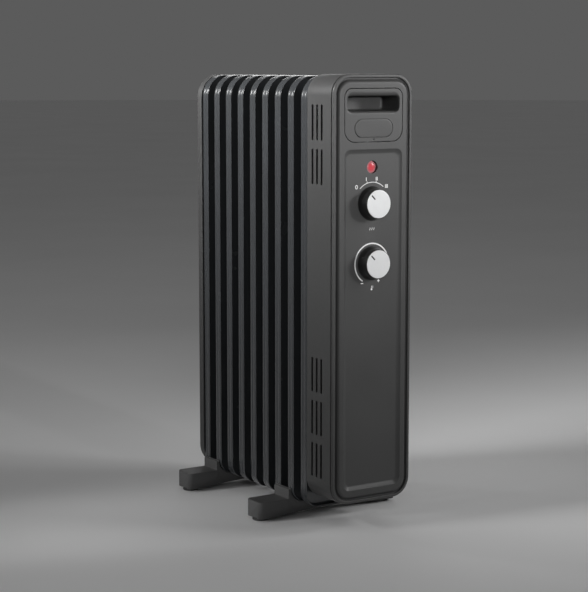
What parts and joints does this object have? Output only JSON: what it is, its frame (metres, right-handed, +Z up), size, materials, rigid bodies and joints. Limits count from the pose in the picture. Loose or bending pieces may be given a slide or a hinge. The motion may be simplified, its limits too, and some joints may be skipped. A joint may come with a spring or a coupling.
{
  "type": "oil filled radiator heater",
  "caption": "Free-standing column radiator: pressed steel oil fins between a vented control housing with two rotary knobs and a rear cover, on two cross feet.",
  "frame": {"origin": "on the floor, under the middle of the whole object's box", "axes": "+X across the body to the right seen from the front, +Y from the control panel to the rear cover, +Z up"},
  "size_m": [0.24, 0.3894, 0.64],
  "materials": {
    "panel_plastic": "satin moulded, fine texture",
    "housing_plastic": "satin moulded, fine texture",
    "badge_plastic": "satin",
    "fin_enamel": "gloss powder coat over sheet steel",
    "foot_plastic": "textured moulded",
    "knob_black": "semi-gloss",
    "knob_silver": "satin silver paint",
    "lens_red": "translucent red",
    "lamp_glass": "clear",
    "zinc_steel": "zinc plated",
    "brass": "plain",
    "switch_plastic": "moulded",
    "black_rubber": "matt"
  },
  "bodies": {
    "body": {"front_panel": "panel_plastic", "handle_insert": "panel_plastic", "badge_pad": "badge_plastic", "control_housing": "housing_plastic", "mounting_plate": "zinc_steel", "control_bracket": "zinc_steel", "heat_switch": "switch_plastic", "thermostat": "switch_plastic", "indicator_lens": "lens_red", "lamp_holder": "switch_plastic", "neon_lamp": "lamp_glass", "thermal_cutout": "switch_plastic", "terminal_block": "switch_plastic", "cord_inlet": "black_rubber", "housing_screw_1": "zinc_steel", "housing_screw_2": "zinc_steel", "housing_screw_3": "zinc_steel", "housing_screw_4": "zinc_steel", "fin_1": "fin_enamel", "fin_2": "fin_enamel", "fin_3": "fin_enamel", "fin_4": "fin_enamel", "fin_5": "fin_enamel", "fin_6": "fin_enamel", "fin_7": "fin_enamel", "fin_8": "fin_enamel", "fin_9": "fin_enamel", "heating_element": "zinc_steel", "element_flange": "brass", "header_cap_front": "fin_enamel", "header_cap_rear_upper": "fin_enamel", "header_cap_rear_lower": "fin_enamel", "filler_plug": "brass", "rear_cover": "housing_plastic", "cover_screw_1": "zinc_steel", "cover_screw_2": "zinc_steel", "foot_front": "foot_plastic", "u_bolt_front": "zinc_steel", "foot_pad_front_left": "black_rubber", "wing_nut_front_left": "zinc_steel", "foot_pad_front_right": "black_rubber", "wing_nut_front_right": "zinc_steel", "foot_rear": "foot_plastic", "u_bolt_rear": "zinc_steel", "foot_pad_rear_left": "black_rubber", "wing_nut_rear_left": "zinc_steel", "foot_pad_rear_right": "black_rubber", "wing_nut_rear_right": "zinc_steel"},
    "heat_knob": {"heat_knob": "knob_black", "heat_knob_cap": "knob_silver", "heat_spindle": "zinc_steel"},
    "thermostat_knob": {"thermostat_knob": "knob_black", "thermostat_knob_cap": "knob_silver", "thermostat_spindle": "zinc_steel"}
  },
  "joints": [
    {"name": "heat_setting", "type": "hinge", "parent": "body", "child": "heat_knob", "pos_m": [0, -0.17835, 0.4625], "axis": [0, 1, 0], "range_deg": [0, 90]},
    {"name": "thermostat_setting", "type": "hinge", "parent": "body", "child": "thermostat_knob", "pos_m": [0, -0.17835, 0.379], "axis": [0, 1, 0], "range_deg": [-101, 191]}
  ]
}
